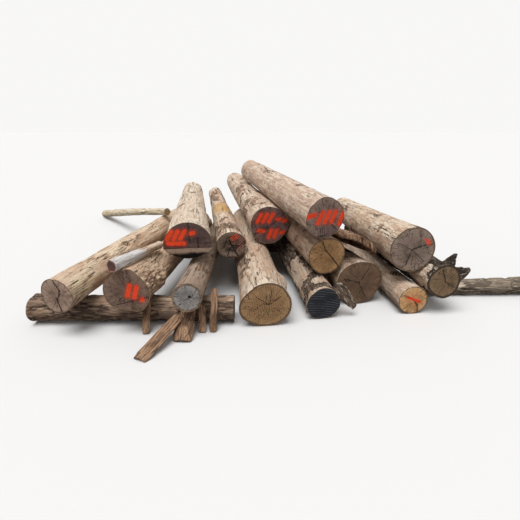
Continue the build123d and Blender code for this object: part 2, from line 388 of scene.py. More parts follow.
# How a log's side is carved: how far in it goes, where the bark is left, and its grain
def carvePeeled(rng, rows, columns, stem, look):
    waves = layered(rng, rows, columns, 9, max(3, int(stem.length * 3)), 4, 0.6)
    fibres = randomField(rng, rows, columns, 60, int(stem.length * 9))
    bark = layered(rng, rows, columns, 5, int(stem.length * 4), 4, 0.65)
    patch = step(bark, look["barkFrom"], look["barkFrom"] + 0.03)
    stations = crowdedToFront(columns) * stem.length
    if look["barkTo"]:
        patch = patch * step(-stations + (bark - 0.5) * 0.3, -look["barkTo"] - 0.03, -look["barkTo"])
    hollows = 1 - step(waves, 0.25, 0.7)
    depth = hollows * hollowDeep + fibres * fibreDeep + (1 - patch) * look["barkThick"]
    if look["burls"]:
        side = np.exp(-(turnFrom(anglesAround(rows), 0.1) ** 2) / 0.7)
        reach = np.exp(-((stations[None, :] - burlPlace) ** 2) / 0.05)
        lumps = np.abs(layered(rng, rows, columns, 24, 22, 2, 0.6) - 0.5) * 2
        depth = depth + side * reach * (1 - lumps) ** 3 * look["burls"]
    return depth, patch, fibres


def carveFurrowed(rng, rows, columns, stem, look):
    plates = look["plates"]
    warp = layered(rng, rows, columns, plates, int(stem.length * 7), 3, 0.6)
    furrow = step(1 - np.abs(warp - 0.5) * 4, 0.25, 0.95)
    ragged = layered(rng, rows, columns, plates * 2, int(stem.length * 26), 2, 0.6)
    worn = step(layered(rng, rows, columns, 4, int(stem.length * 3), 3, 0.6), 0.5, 0.62)
    furrows = furrow * look["furrowDeep"] * (1 - 0.6 * worn)
    depth = furrows + ragged * raggedDeep + worn * wornDeep
    # The third value is low in the furrows; the side material darkens them there as painted shade
    return depth, 1 - 0.8 * worn, 1 - furrow


# A sawn end, from its middle out to the side's own rim: points, local places, shape and marks
def sawnEnd(rng, look, sideRim, centre, basis, outward):
    rows, rings = look["rows"], look["rings"]
    normal, right, up = basis
    spread = np.linspace(0, 1, rings) ** 0.8
    rim = sideRim[:, None, :2] * spread[:, None]
    rough = layered(rng, rows, rings, 14, 6, 3, 0.6)
    torn = layered(rng, rows, rings, 9, 7, 3, 0.7) * step(1 - spread, 0.05, 0.5)[None, :]
    sunk = np.maximum(0.5 - rough, 0) * endDeep + torn * look["torn"] * (outward < 0)
    sunk = sunk + step(spread, 0.9, 0.99)[None, :] * randomField(rng, rows, rings, 40, 2) * endRimDeep
    sunk = sunk * (spread < 1)
    sunk[:, 0] = sunk[:, 0].mean()
    points = centre + rim[..., 0:1] * right + rim[..., 1:2] * up + sunk[..., None] * (-outward * normal)
    local = np.concatenate((rim, np.full(sunk.shape + (1,), sideRim[0, 2])), -1)
    shape = np.stack((np.broadcast_to(spread, sunk.shape), rough, np.full(sunk.shape, float(outward))), -1)
    marks = np.stack((sunk / deepest, sunk / deepest, sunk * 0), -1)
    return points, local, shape, marks


def buildLog(node, look, across=False):
    rng = np.random.default_rng(look["seed"])
    stem = Stem(node, across)
    rows, columns, rings = look["rows"], look["columns"], look["rings"]
    shares = crowdedToFront(columns)
    radii, facings, centres = stem.outline(rows, shares, look["exact"])
    basis = np.array([stem.section(share) for share in shares])
    stations = shares * stem.length
    angles = anglesAround(rows)

    # The side is carved inward only, and less so close to the sawn ends
    depth, patch, grain = look["carve"](rng, rows, columns, stem, look)
    fromEnd = np.minimum(stations, stem.length - stations)
    depth = depth * (0.1 + 0.9 * step(fromEnd, 0.0, calmReach))
    chips = step(layered(rng, rows, columns, 11, int(stem.length * 30), 2, 0.6), 0.5, 0.8)
    chips = chips * look["chips"] * np.exp(-fromEnd / chipReach)
    depth = depth + (edgeDeep * np.exp(-fromEnd / edgeReach) + chips)
    knots = np.zeros((rows, columns))
    for bearing, station, size in look["knots"]:
        off = turnFrom(angles, math.radians(bearing)) * radii
        knots = np.maximum(knots, np.exp(-(off**2 + (stations - station) ** 2) / size**2))
    depth = depth + knots * knotDeep
    x = np.cos(angles) * (radii - depth)
    y = np.sin(angles) * (radii - depth)
    local = np.stack((x, y, np.broadcast_to(stations, x.shape)), -1)
    points = centres + x[..., None] * basis[:, 1] + y[..., None] * basis[:, 2]
    shape = np.stack((np.ones_like(x), patch, grain), -1)
    marks = np.stack((knots, np.clip(depth / deepest, 0, 1), facings), -1)

    front = sawnEnd(rng, look, local[:, 0], centres[0], basis[0], -1)
    back = sawnEnd(rng, look, local[:, -1], centres[-1], basis[-1], 1)
    sheets = zip((points, local, shape, marks), front, back)
    points, local, shape, marks = (merged(parts) for parts in sheets)
    frontFaces = gridFaces(rows * columns, rows, rings)
    backFaces = gridFaces(rows * (columns + rings), rows, rings, flip=True)
    faces = np.concatenate((gridFaces(0, rows, columns, flip=True), frontFaces, backFaces))
    slots = np.repeat((0, 1), (rows * (columns - 1), 2 * rows * (rings - 1)))
    name = node.replace("_log", "_timber")
    materials = [sideMaterial(name + "_side", look), endMaterial(name + "_end", look)]
    attributes = {"local": local, "shape": shape, "marks": marks}
    piece = meshObject(name, points, faces, slots.astype(np.int32), materials, attributes)
    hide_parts(node)
    return stem


# Weathered wood and bark, with its streaks and cracks along the log, and painted shade on its lower side, in
# its hollows, furrows and cracks
def sideMaterial(name, look):
    paint = Shader(name)
    x, y, z = paint.parts(paint.attribute("local"))
    _, patch, grain = paint.parts(paint.attribute("shape"))
    knot, deep, facing = paint.parts(paint.attribute("marks"))
    seed = look["seed"] * 7.3
    streaks = paint.join(x + seed, y, z * 0.10)  # drawn out along the log
    mottled = paint.join(x + seed, y, z * 0.35)
    broad = paint.noise(mottled, 6.0, 3.0, 0.6)
    blotch = paint.noise(mottled, 15.0, 5.0, 0.72, 0.5)
    fine = paint.noise(streaks, 55.0, 6.0, 0.68, 0.3)
    fibre = paint.noise(streaks, 170.0, 4.0, 0.6)
    fleck = paint.noise(paint.join(x, y + seed, z * 0.3), 48.0, 4.0, 0.75, 0.5)
    seam = paint.noise(paint.join(x + seed, y, z * 0.06), 20.0, 3.0, 0.6, 0.25)

    wood = paint.mix(broad.ramp(0.3, 0.7), look["wood"], look["woodPale"])
    inner = (blotch + (fine - 0.5) * 0.25).ramp(look["innerFrom"], look["innerFrom"] + 0.05)
    wood = paint.mix(inner * 0.85, wood, look["inner"])
    wood = paint.mix(fine.ramp(0.44, 0.68) * 0.85, wood, look["woodDark"])
    wood = paint.mix(fibre.ramp(0.5, 0.68) * 0.45, wood, look["woodPale"])
    wood = paint.mix(fleck.ramp(0.58, 0.67) * look["flecks"], wood, look["fleckColor"])
    bark = paint.mix(fine.ramp(0.35, 0.7), look["bark"], look["barkDark"])
    # On furrowed bark the third shape value is low in the furrows, so this darkens them as painted shade; on
    # peeled logs it is a random fibre field, the wood's own tone
    bark = paint.mix(grain.ramp(0.75, 0.15), bark, look["barkDark"])
    bark = paint.mix(fleck.ramp(0.52, 0.66) * 0.6, bark, look["woodPale"])
    ragged = (patch + (fine - 0.5) * 0.8 + (blotch - 0.5) * 0.6).ramp(0.4, 0.6)
    color = paint.mix(ragged, wood, bark)

    for stainX, stainY, stainZ, reach in look["stains"]:
        off = paint.join(x - stainX, y - stainY, z - stainZ)
        near = paint.span(off) + (fleck - 0.5) * 0.22 + (blotch - 0.5) * 0.1
        color = paint.mix(near.ramp(reach, reach * 0.6) * 0.8, color, look["stainColor"])
    # Painted shade: cracks along the log get a near-black colour for the dark inside them
    cracks = (seam - 0.5).size().ramp(0.014, 0.002) * (broad + (fleck - 0.5) * 0.5).ramp(0.46, 0.56)
    color = paint.mix(cracks * look["seams"], color, look["gapColor"])
    # Painted shade: the deeper the carving, between burls and in furrows, the darker towards the dark bark
    # colour
    color = paint.mix((deep + (fine - 0.5) * 0.4).ramp(0.62, 1.0) * 0.7, color, look["barkDark"])
    whorl = ((knot * 16.0) + fine * 3.0).sine()
    eyes = paint.mix(whorl.ramp(-0.4, 0.8), look["gapColor"], look["inner"])
    color = paint.mix(knot.ramp(0.12, 0.3), color, eyes)

    torn = facing.ramp(0.3, 0.5)  # what faces the front is the floor of a notch
    shred = paint.mix(fibre.ramp(0.35, 0.65), look["tornColor"], look["woodPale"])
    # Painted shadow: more than 5 to 10 cm behind the face, the notch's floor turns near black, standing in
    # for the shade under the notch
    shred = paint.mix((z + (fine - 0.5) * 0.05).ramp(0.05, 0.10), shred, look["gapColor"])
    color = paint.mix(torn, color, shred)
    # Painted shade: the lower side of the log is darkened towards a dark brown, standing in for the shade
    # beneath it
    low = (-y * 7.0 + (blotch - 0.5) * 2.0).ramp(-0.15, 1.25)
    color = paint.mix(low * look["dirt"] * (1.0 - torn), color, look["dirtColor"])
    height = fine * 0.6 + fibre * 0.25 + fleck * 0.5 + blotch * 0.4 - cracks * 1.2
    return paint.finish(color, (fine * 0.2) + 0.72, height, 0.011)


# How far a place on the face is from a stroke between two points
def strokeDistance(paint, x, y, ax, ay, bx, by):
    dx, dy = bx - ax, by - ay
    share = (((x - ax) * dx + (y - ay) * dy) / (dx * dx + dy * dy)).high(0.0).low(1.0)
    return paint.span(paint.join(x - ax - share * dx, y - ay - share * dy, 0.0))


ringPitch = 420.0  # the rings' wave, in radians a metre


# Sawn end: heartwood and sapwood, rings, saw marks, drying cracks, spray strokes and a rim of bark, with
# painted shade in cracks, the pith hole and sunk places
def endMaterial(name, look):
    paint = Shader(name, 0.8)
    x, y, _ = paint.parts(paint.attribute("local"))
    rim, _, facing = paint.parts(paint.attribute("shape"))
    _, deep, _ = paint.parts(paint.attribute("marks"))
    seed = look["seed"] * 3.7
    px, py = x - look["pith"][0], y - look["pith"][1]
    radius = paint.span(paint.join(px, py, 0.0))
    away = radius.high(0.004)
    flat = paint.join(x + seed, y, 0.0)
    cloud = paint.noise(flat, 8.0, 4.0, 0.6)
    grit = paint.noise(flat, 150.0, 4.0, 0.7)
    coarse = paint.noise(flat, 38.0, 4.0, 0.65, 0.4)
    rays = paint.noise(paint.join(px / away, py / away, radius * 1.6 + seed), 5.0, 3.0, 0.65)
    checks = paint.noise(paint.join(px / away, py / away, radius * 3.0 + seed), 2.6, 2.0, 0.6)
    rings = ((radius + (cloud - 0.5) * 0.05) * ringPitch + rays * 2.0).sine()
    slant = math.radians(look["sawAngle"])
    across = x * math.sin(slant) + y * math.cos(slant) + (x * math.cos(slant)).power(2.0) * 0.6
    saw = (across * look["sawPitch"] + coarse * 2.0).sine()
    sawn = paint.noise(paint.join(x * 0.6 + seed, y, 3.0), 12.0, 2.0).ramp(0.35, 0.6)

    color = paint.mix((rim + (cloud - 0.5) * 0.7).ramp(0.35, 0.9), look["heart"], look["sap"])
    color = paint.mix((cloud + (coarse - 0.5) * 0.4).ramp(0.46, 0.66) * 0.75, color, look["faceDark"])
    color = paint.mix(rays.ramp(0.5, 0.7) * 0.5, color, look["faceDark"])
    color = paint.mix(coarse.ramp(0.52, 0.72) * 0.6, color, look["facePale"])
    color = paint.mix(rings.ramp(0.1, 1.0) * look["ringMark"], color, look["faceDark"])
    lines = saw.ramp(look["sawFrom"], 1.0) * sawn * look["sawMark"]
    color = paint.mix(lines, color, look["sawColor"] or look["facePale"])
    color = paint.mix(grit.ramp(0.56, 0.72) * 0.5, color, look["faceDark"])
    if look["patch"]:
        patchX, patchY, reach, tone = look["patch"]
        off = paint.span(paint.join(x - patchX, y - patchY, 0.0))
        near = off + (coarse - 0.5) * 0.12 + (cloud - 0.5) * 0.1
        striped = paint.mix(saw.ramp(-0.3, 0.6), tone, look["faceDark"])
        color = paint.mix(near.ramp(reach, reach * 0.75), color, striped)

    # Hairline checks, cracks, the hole in the pith and the rim go into the height as well
    height = saw * sawn * 0.25 * look["sawMark"] + coarse * 0.5 + grit * 0.25
    # Painted shade: the checks and cracks are given a near-black colour for the dark inside them
    hair = (checks - 0.5).size().ramp(0.010, 0.002) * rim.ramp(0.12, 0.35) * 0.8
    color = paint.mix(hair, color, look["gapColor"])
    height = height - hair
    wobble = (coarse - 0.5) * 0.040 + (grit - 0.5) * 0.008
    for ax, ay, bx, by, width in look["cracks"]:
        apart = strokeDistance(paint, x + wobble, y - wobble * 0.8, ax, ay, bx, by)
        gap = (apart - (cloud - 0.5) * width).ramp(width, width * 0.4)
        color = paint.mix(gap * 0.95, color, look["gapColor"])
        height = height - gap * 2.2
    # Painted shade: sunk parts of the face, torn wood and the bark's rim, are darkened towards near black
    color = paint.mix((deep + (coarse - 0.5) * 0.3).ramp(0.25, 0.6) * 0.85, color, look["gapColor"])
    # Painted shade: the hole in the pith is near black
    if look["pithHole"]:
        hole = (radius + (coarse - 0.5) * 0.01).ramp(look["pithHole"], look["pithHole"] * 0.6)
        color = paint.mix(hole, color, look["gapColor"])
        height = height - hole * 2.0
    edge = (rim + (coarse - 0.5) * 0.07).ramp(look["rimFrom"], look["rimFrom"] + 0.015)
    rimTone = paint.mix(coarse.ramp(0.4, 0.6), look["rimColor"], look["barkDark"])
    color = paint.mix(edge * look["rimMark"], color, rimTone)
    height = height - edge * 0.8

    # Sprayed strokes, on the front face alone
    isFront = 1.0 - facing.ramp(0.0, 1.0)
    drift = (coarse - 0.5) * 0.012
    for ax, ay, bx, by in look["spray"]:
        width = look["sprayWidth"]
        apart = strokeDistance(paint, x + drift, y + drift, ax, ay, bx, by)
        body = (apart + (grit - 0.5) * 0.012).ramp(width * 0.62, width * 0.40) * look["sprayCover"]
        mist = (apart + (grit - 0.5) * 0.06).ramp(width * 1.4, width * 0.4) * 0.3
        color = paint.mix((body + mist).low(1.0) * isFront, color, look["sprayColor"])
    return paint.finish(color, (coarse * 0.2) + 0.66, height, 0.005)


flakeThick = 0.007
flakeRows, flakeColumns = 48, 40


# A flake of bark that has come loose at one end. Its start, its end and the way that its width lies are
# given to the right, upward and inward from the middle of the log's face
def buildFlap(name, node, stem, look, start, end, across, width, point):
    rng = np.random.default_rng(look["seed"] + len(name))
    normal, right, up = stem.section(0.0)
    base, tip, wide = (place[0] * right + place[1] * up + place[2] * normal for place in (start, end, across))
    base, tip = stem.front + base, stem.front + tip
    run = tip - base
    wide = unit(wide - run * (wide @ run) / (run @ run))
    thick = unit(np.cross(run, wide))
    rows, columns = flakeRows, flakeColumns
    v = np.linspace(0, 1, columns)
    angles = anglesAround(rows)
    half = width / 2 * (1 - (1 - point) * v) * np.minimum(1, (v + 0.02) * 8) ** 0.5
    half = half * (0.85 + 0.3 * randomField(rng, rows, columns, 2, 9)) * (1 - step(v, 0.97, 1.0) * 0.9)
    grain = randomField(rng, rows, columns, 24, 12)
    body = flakeThick * (1 - step(v, 0.95, 1.0) * 0.9) * (0.6 + 0.8 * grain)
    a = np.sign(np.cos(angles)) * np.abs(np.cos(angles)) ** 0.5 * half
    b = np.sin(angles) * body + (a / width) ** 2 * width * 0.5 + np.sin(v * 3.0) * 0.012
    points = base + v[None, :, None] * run + a[..., None] * wide + b[..., None] * thick
    local = np.stack((a, b, np.broadcast_to(v * np.linalg.norm(run), a.shape)), -1)
    ones = np.ones_like(a)
    shape = np.stack((ones, ones, randomField(rng, rows, columns, 20, 6)), -1)
    marks = np.stack((ones * 0, ones * 0.2, ones * 0), -1)
    attributes = {"local": local, "shape": shape, "marks": marks}
    faces = gridFaces(0, rows, columns, flip=True)
    slots = np.zeros(len(faces), dtype=np.int32)
    bark = sideMaterial(name + "_bark", lookFrom(look, seed=look["seed"] + 50, dirt=0.0))
    piece = meshObject(name, points.reshape(-1, 3), faces, slots, [bark], attributes)


def lookFrom(base, **changes):
    return {**base, **changes}


# What the logs have in common; lengths are in metres, places on a face are to the right and upward
woodTan = {
    "carve": carvePeeled,
    "exact": False,  # True for a log with a notch, which is traced ray by ray
    "rows": 120,  # points round the log
    "columns": 84,  # points along it
    "rings": 20,  # points from a face's middle to its rim
    "plates": 18,  # bark plates round a furrowed log
    "furrowDeep": 0.014,
    "barkFrom": 0.62,  # the lower, the more bark is left
    "barkTo": 0.0,  # where the bark ends, from the face; 0 for nowhere
    "barkThick": 0.0025,
    "burls": 0.0,  # depth between the lumps beside the face
    "chips": 0.005,  # depth along the edges of the sawn ends
    "torn": 0.0,  # depth of the torn wood in the face
    "knots": (),  # bearing in degrees, distance from the face, size
    "wood": (0.66, 0.51, 0.39),
    "woodPale": (0.82, 0.70, 0.565),
    "woodDark": (0.39, 0.26, 0.18),
    "inner": (0.56, 0.375, 0.255),
    "innerFrom": 0.50,  # the lower, the more of the inner bark is left
    "bark": (0.36, 0.235, 0.155),
    "barkDark": (0.14, 0.088, 0.058),
    "flecks": 0.9,
    "fleckColor": (0.075, 0.045, 0.03),
    "seams": 0.9,
    # near black: painted shade inside cracks, checks, the pith hole and deep hollows, and also the dark rings
    # of knots
    "gapColor": (0.016, 0.011, 0.008),
    "tornColor": (0.52, 0.35, 0.24),
    # painted shade on each log's lower side: how strong, and its colour
    "dirt": 0.7,
    "dirtColor": (0.13, 0.085, 0.06),
    "stains": (),  # place in the log and reach
    "stainColor": (0.84, 0.69, 0.46),
    "heart": (0.30, 0.17, 0.08),
    "sap": (0.42, 0.27, 0.14),
    "faceDark": (0.14, 0.08, 0.042),
    "facePale": (0.54, 0.385, 0.225),
    "ringMark": 0.2,
    "pith": (0.0, 0.0),
    "pithHole": 0.0,  # its radius
    "sawAngle": 35,  # degrees
    "sawPitch": 360.0,  # radians a metre
    "sawFrom": 0.2,
    "sawMark": 0.3,
    "sawColor": None,  # None for the pale colour of the face
    "patch": None,  # place, reach and colour
    "rimFrom": 0.94,  # share of the radius where the bark shows
    "rimMark": 0.9,
    "rimColor": (0.17, 0.11, 0.07),
    "cracks": (),  # from, to and width
    "spray": (),  # from and to
    "sprayWidth": 0.030,
    "sprayCover": 0.97,
    "sprayColor": (0.95, 0.075, 0.02),
}

longPeeled = lookFrom(
    woodTan,
    seed=11,
    columns=96,
    barkFrom=0.76,
    knots=((70, 0.9, 0.03), (150, 1.5, 0.03)),
    wood=(0.67, 0.50, 0.36),
    woodPale=(0.84, 0.69, 0.51),
    inner=(0.58, 0.385, 0.25),
    innerFrom=0.49,
    stains=((0.13, 0.06, 0.10, 0.09), (0.14, 0.03, 0.22, 0.08)),
    heart=(0.33, 0.22, 0.17),
    sap=(0.46, 0.325, 0.25),
    faceDark=(0.10, 0.062, 0.042),
    facePale=(0.48, 0.345, 0.24),
    cracks=(
        (-0.015, 0.115, 0.025, 0.04, 0.006),
        (0.025, 0.04, -0.01, -0.02, 0.007),
        (-0.01, -0.02, 0.01, -0.11, 0.006),
    ),
)
buildLog("long_peeled_log", longPeeled)

rootFlare = lookFrom(
    woodTan,
    seed=12,
    rows=144,
    columns=110,
    barkFrom=0.70,
    burls=0.032,
    chips=0.007,
    wood=(0.70, 0.50, 0.355),
    woodPale=(0.84, 0.64, 0.46),
    woodDark=(0.40, 0.265, 0.18),
    inner=(0.60, 0.395, 0.26),
    bark=(0.44, 0.30, 0.205),
    barkDark=(0.27, 0.17, 0.115),
    heart=(0.175, 0.108, 0.08),
    sap=(0.255, 0.162, 0.12),
    faceDark=(0.045, 0.028, 0.02),
    facePale=(0.36, 0.24, 0.17),
    sawAngle=-12,
    sawMark=0.25,
    cracks=((-0.10, -0.105, 0.15, -0.03, 0.004),),
    spray=((-0.01, -0.03, 0.015, 0.05), (0.04, -0.04, 0.065, 0.04), (0.095, -0.055, 0.10, -0.05)),
)
buildLog("root_flare_log", rootFlare)

greyEnd = lookFrom(
    woodTan,
    seed=13,
    barkFrom=0.56,
    # Dark body colours: partly this log's own grey-brown bark, partly painted shade, as it lies in the shade
    # of the logs above
    wood=(0.28, 0.21, 0.16),
    woodPale=(0.42, 0.335, 0.265),
    inner=(0.28, 0.19, 0.135),
    heart=(0.275, 0.255, 0.245),
    sap=(0.40, 0.375, 0.355),
    faceDark=(0.11, 0.10, 0.10),
    facePale=(0.55, 0.53, 0.50),
    pith=(0.012, 0.008),
    pithHole=0.013,
    rimFrom=0.84,
    rimColor=(0.34, 0.24, 0.16),
    cracks=((0.012, 0.0, 0.06, 0.045, 0.003), (0.012, 0.0, -0.065, -0.03, 0.0025)),
)
buildLog("grey_end_log", greyEnd)

centreButt = lookFrom(
    woodTan,
    seed=14,
    rows=144,
    columns=96,
    barkFrom=0.66,
    chips=0.008,
    # Darker body colours than the other logs, partly painted shade from the logs above it
    wood=(0.50, 0.37, 0.265),
    woodPale=(0.74, 0.61, 0.48),
    stains=((-0.03, 0.16, 0.02, 0.10), (-0.12, 0.12, 0.03, 0.07)),
    stainColor=(0.80, 0.68, 0.54),
    heart=(0.32, 0.18, 0.085),
    sap=(0.47, 0.28, 0.14),
    faceDark=(0.20, 0.11, 0.045),
    facePale=(0.64, 0.44, 0.26),
    ringMark=0.4,
    sawAngle=80,
    patch=(0.0, -0.05, 0.035, (0.33, 0.23, 0.095)),
    rimFrom=0.92,
    cracks=(
        (0.01, 0.01, 0.10, 0.075, 0.0035),
        (0.01, 0.01, -0.09, 0.08, 0.003),
        (0.01, 0.01, -0.04, 0.02, 0.003),
        (-0.04, 0.02, -0.11, -0.04, 0.003),
        (0.01, 0.01, 0.03, 0.13, 0.0025),
    ),
)
buildLog("centre_butt_log", centreButt)

blackEnd = lookFrom(
    woodTan,
    seed=15,
    barkFrom=0.50,
    wood=(0.42, 0.30, 0.21),
    bark=(0.15, 0.10, 0.07),
    barkDark=(0.05, 0.033, 0.024),
    heart=(0.014, 0.0155, 0.022),
    sap=(0.022, 0.024, 0.032),
    faceDark=(0.006, 0.006, 0.009),
    facePale=(0.055, 0.058, 0.072),
    sawAngle=10,
    sawPitch=300.0,
    sawFrom=0.55,
    sawMark=0.45,
    sawColor=(0.24, 0.25, 0.28),
    rimFrom=0.965,
    rimMark=0.7,
    rimColor=(0.26, 0.19, 0.13),
)
blackStem = buildLog("black_end_log", blackEnd)

rightFlake = {
    "start": (0.10, 0.12, 0.07),
    "end": (0.275, -0.065, 0.01),
    "across": (0.6, 0.7, 0.3),
    "width": 0.15,
    "point": 0.35,  # the tip's share of the width
}
buildFlap("black_end_flake_right", "black_end_log", blackStem, blackEnd, **rightFlake)

leftFlake = {
    "start": (-0.135, 0.11, 0.06),
    "end": (-0.13, -0.085, 0.015),
    "across": (0.5, 0.0, 0.8),
    "width": 0.05,
    "point": 0.4,
}
buildFlap("black_end_flake_left", "black_end_log", blackStem, blackEnd, **leftFlake)

ovalEnd = lookFrom(
    woodTan,
    seed=16,
    barkFrom=0.56,
    heart=(0.14, 0.083, 0.052),
    sap=(0.22, 0.135, 0.083),
    faceDark=(0.085, 0.05, 0.03),
    facePale=(0.31, 0.205, 0.13),
    rimFrom=0.92,
    cracks=(
        (-0.02, 0.0, 0.06, 0.12, 0.004),
        (-0.02, 0.0, -0.13, 0.04, 0.004),
        (-0.02, 0.0, 0.05, -0.14, 0.004),
    ),
)
buildLog("oval_end_log", ovalEnd)

slenderRight = lookFrom(
    woodTan,
    seed=17,
    barkFrom=0.68,
    knots=((95, 0.34, 0.045), (60, 0.95, 0.03)),
    heart=(0.70, 0.34, 0.15),
    sap=(0.80, 0.48, 0.23),
    faceDark=(0.32, 0.15, 0.055),
    facePale=(0.85, 0.60, 0.34),
    sawAngle=-40,
    cracks=(
        (-0.02, 0.02, 0.03, -0.04, 0.0045),
        (0.03, -0.04, 0.04, -0.10, 0.0045),
        (-0.02, 0.02, -0.09, 0.05, 0.003),
    ),
    spray=((-0.055, 0.03, 0.05, -0.015),),
    sprayWidth=0.018,
)
buildLog("slender_right_log", slenderRight)

thickBark = lookFrom(
    woodTan,
    seed=18,
    carve=carveFurrowed,
    plates=22,
    bark=(0.10, 0.07, 0.052),
    barkDark=(0.032, 0.022, 0.017),
    heart=(0.19, 0.118, 0.065),
    sap=(0.26, 0.17, 0.097),
    faceDark=(0.11, 0.07, 0.038),
    facePale=(0.35, 0.24, 0.145),
    rimFrom=0.86,
    rimColor=(0.045, 0.03, 0.024),
    cracks=((-0.03, 0.10, 0.0, 0.0, 0.006), (0.0, 0.0, 0.08, -0.05, 0.003)),
)
thickStem = buildLog("thick_bark_log", thickBark)

topFlake = {
    "start": (0.055, 0.10, 0.05),
    "end": (0.085, 0.225, 0.02),
    "across": (0.9, -0.1, 0.2),
    "width": 0.19,
    "point": 0.15,
}
buildFlap("thick_bark_flake_top", "thick_bark_log", thickStem, thickBark, **topFlake)

sideFlake = {
    "start": (0.10, 0.035, 0.05),
    "end": (0.225, 0.09, 0.02),
    "across": (-0.4, 0.8, 0.2),
    "width": 0.17,
    "point": 0.15,
}
buildFlap("thick_bark_flake_side", "thick_bark_log", thickStem, thickBark, **sideFlake)

tanCracked = lookFrom(
    woodTan,
    seed=19,
    # Darker body colours, painted shade: this log lies in the shade of the logs above it
    wood=(0.42, 0.30, 0.215),
    woodPale=(0.60, 0.465, 0.35),
    inner=(0.34, 0.215, 0.145),
    heart=(0.42, 0.23, 0.105),
    sap=(0.54, 0.31, 0.145),
    faceDark=(0.21, 0.12, 0.048),
    facePale=(0.66, 0.42, 0.22),
    sawAngle=60,
    cracks=(
        (-0.06, 0.13, -0.02, 0.05, 0.005),
        (-0.02, 0.05, 0.04, -0.02, 0.006),
        (0.04, -0.02, 0.11, -0.11, 0.006),
    ),
)
buildLog("tan_cracked_log", tanCracked)

lichenLog = lookFrom(
    woodTan,
    seed=20,
    chips=0.014,
    torn=0.016,
    knots=((120, 0.45, 0.03),),
    wood=(0.67, 0.52, 0.40),
    innerFrom=0.47,
    stains=((0.01, 0.10, 0.86, 0.15), (-0.03, 0.09, 1.05, 0.12)),
    stainColor=(0.60, 0.37, 0.13),
    heart=(0.20, 0.145, 0.11),
    sap=(0.28, 0.205, 0.155),
    faceDark=(0.07, 0.045, 0.03),
    facePale=(0.34, 0.25, 0.19),
    sawAngle=-50,
    sawMark=0.2,
    patch=(0.065, 0.04, 0.085, (0.40, 0.19, 0.15)),
    cracks=(
        (-0.01, 0.0, 0.06, -0.01, 0.008),
        (0.06, -0.01, 0.11, 0.03, 0.005),
        (-0.01, 0.0, -0.05, -0.10, 0.006),
        (-0.01, 0.0, 0.05, -0.11, 0.007),
        (-0.01, 0.0, -0.03, 0.05, 0.008),
    ),
    spray=((-0.01, 0.07, 0.035, 0.10), (0.0, 0.05, 0.05, 0.075)),
    sprayWidth=0.012,
    sprayCover=0.45,
)
buildLog("lichen_log", lichenLog)

notchedButt = lookFrom(
    woodTan,
    seed=21,
    exact=True,
    rows=128,
    columns=100,
    barkFrom=0.74,
    knots=((125, 0.8, 0.04), (80, 1.35, 0.03)),
    wood=(0.69, 0.55, 0.42),
    woodPale=(0.85, 0.74, 0.60),
    inner=(0.58, 0.42, 0.31),
    innerFrom=0.55,
    flecks=0.6,
    tornColor=(0.76, 0.56, 0.49),
    heart=(0.085, 0.048, 0.045),
    sap=(0.122, 0.074, 0.065),
    faceDark=(0.034, 0.021, 0.02),
    facePale=(0.22, 0.145, 0.12),
    cracks=((0.01, 0.11, 0.015, -0.06, 0.004), (0.075, -0.01, 0.08, -0.09, 0.006)),
    spray=(
        (-0.155, -0.015, -0.12, 0.045),
        (-0.105, -0.015, -0.07, 0.045),
        (-0.055, -0.015, -0.02, 0.045),
        (-0.15, -0.05, -0.03, -0.055),
        (0.025, 0.025, 0.045, 0.03),
    ),
)
buildLog("notched_butt_log", notchedButt)

topMiddle = lookFrom(
    woodTan,
    seed=22,
    rows=128,
    columns=92,
    barkFrom=0.63,
    knots=((140, 0.43, 0.045), (75, 0.8, 0.03), (110, 1.3, 0.03)),
    wood=(0.68, 0.54, 0.425),
    inner=(0.55, 0.385, 0.285),
    innerFrom=0.48,
    heart=(0.155, 0.082, 0.08),
    sap=(0.215, 0.128, 0.115),
    faceDark=(0.034, 0.021, 0.023),
    facePale=(0.27, 0.18, 0.155),
    sawAngle=-60,
    sawMark=0.35,
    rimFrom=0.955,
    rimMark=0.6,
    rimColor=(0.36, 0.27, 0.19),
    cracks=((0.0, 0.0, -0.16, -0.085, 0.004), (0.0, 0.0, 0.12, 0.11, 0.003)),
    spray=(
        (-0.13, 0.04, -0.09, 0.11),
        (-0.075, 0.04, -0.035, 0.11),
        (-0.02, 0.04, 0.02, 0.11),
        (0.06, 0.055, 0.085, 0.06),
        (0.125, 0.04, 0.15, 0.045),
        (-0.115, -0.045, -0.07, -0.05),
        (-0.02, -0.115, 0.005, -0.045),
        (0.035, -0.115, 0.06, -0.045),
        (0.10, -0.075, 0.125, -0.07),
    ),
)
buildLog("top_middle_log", topMiddle)

topRight = lookFrom(
    woodTan,
    seed=23,
    rows=128,
    columns=92,
    barkFrom=0.76,
    knots=((100, 0.5, 0.03), (70, 1.0, 0.035), (115, 1.35, 0.03)),
    wood=(0.67, 0.525, 0.41),
    woodPale=(0.84, 0.71, 0.58),
    inner=(0.54, 0.375, 0.285),
    innerFrom=0.46,
    heart=(0.225, 0.145, 0.13),
    sap=(0.32, 0.22, 0.18),
    faceDark=(0.065, 0.042, 0.038),
    facePale=(0.36, 0.27, 0.215),
    sawAngle=85,
    sawMark=0.35,
    patch=(0.02, -0.12, 0.09, (0.27, 0.165, 0.15)),
    rimFrom=0.96,
    rimMark=0.5,
    cracks=((0.0, -0.02, 0.10, -0.10, 0.003), (-0.05, -0.15, 0.02, -0.13, 0.004)),
    spray=(
        (-0.155, 0.02, -0.10, 0.03),
        (-0.07, -0.035, -0.035, 0.045),
        (-0.015, -0.035, 0.02, 0.045),
        (0.04, -0.035, 0.075, 0.045),
        (0.11, -0.055, 0.135, 0.025),
    ),
)
buildLog("top_right_log", topRight)

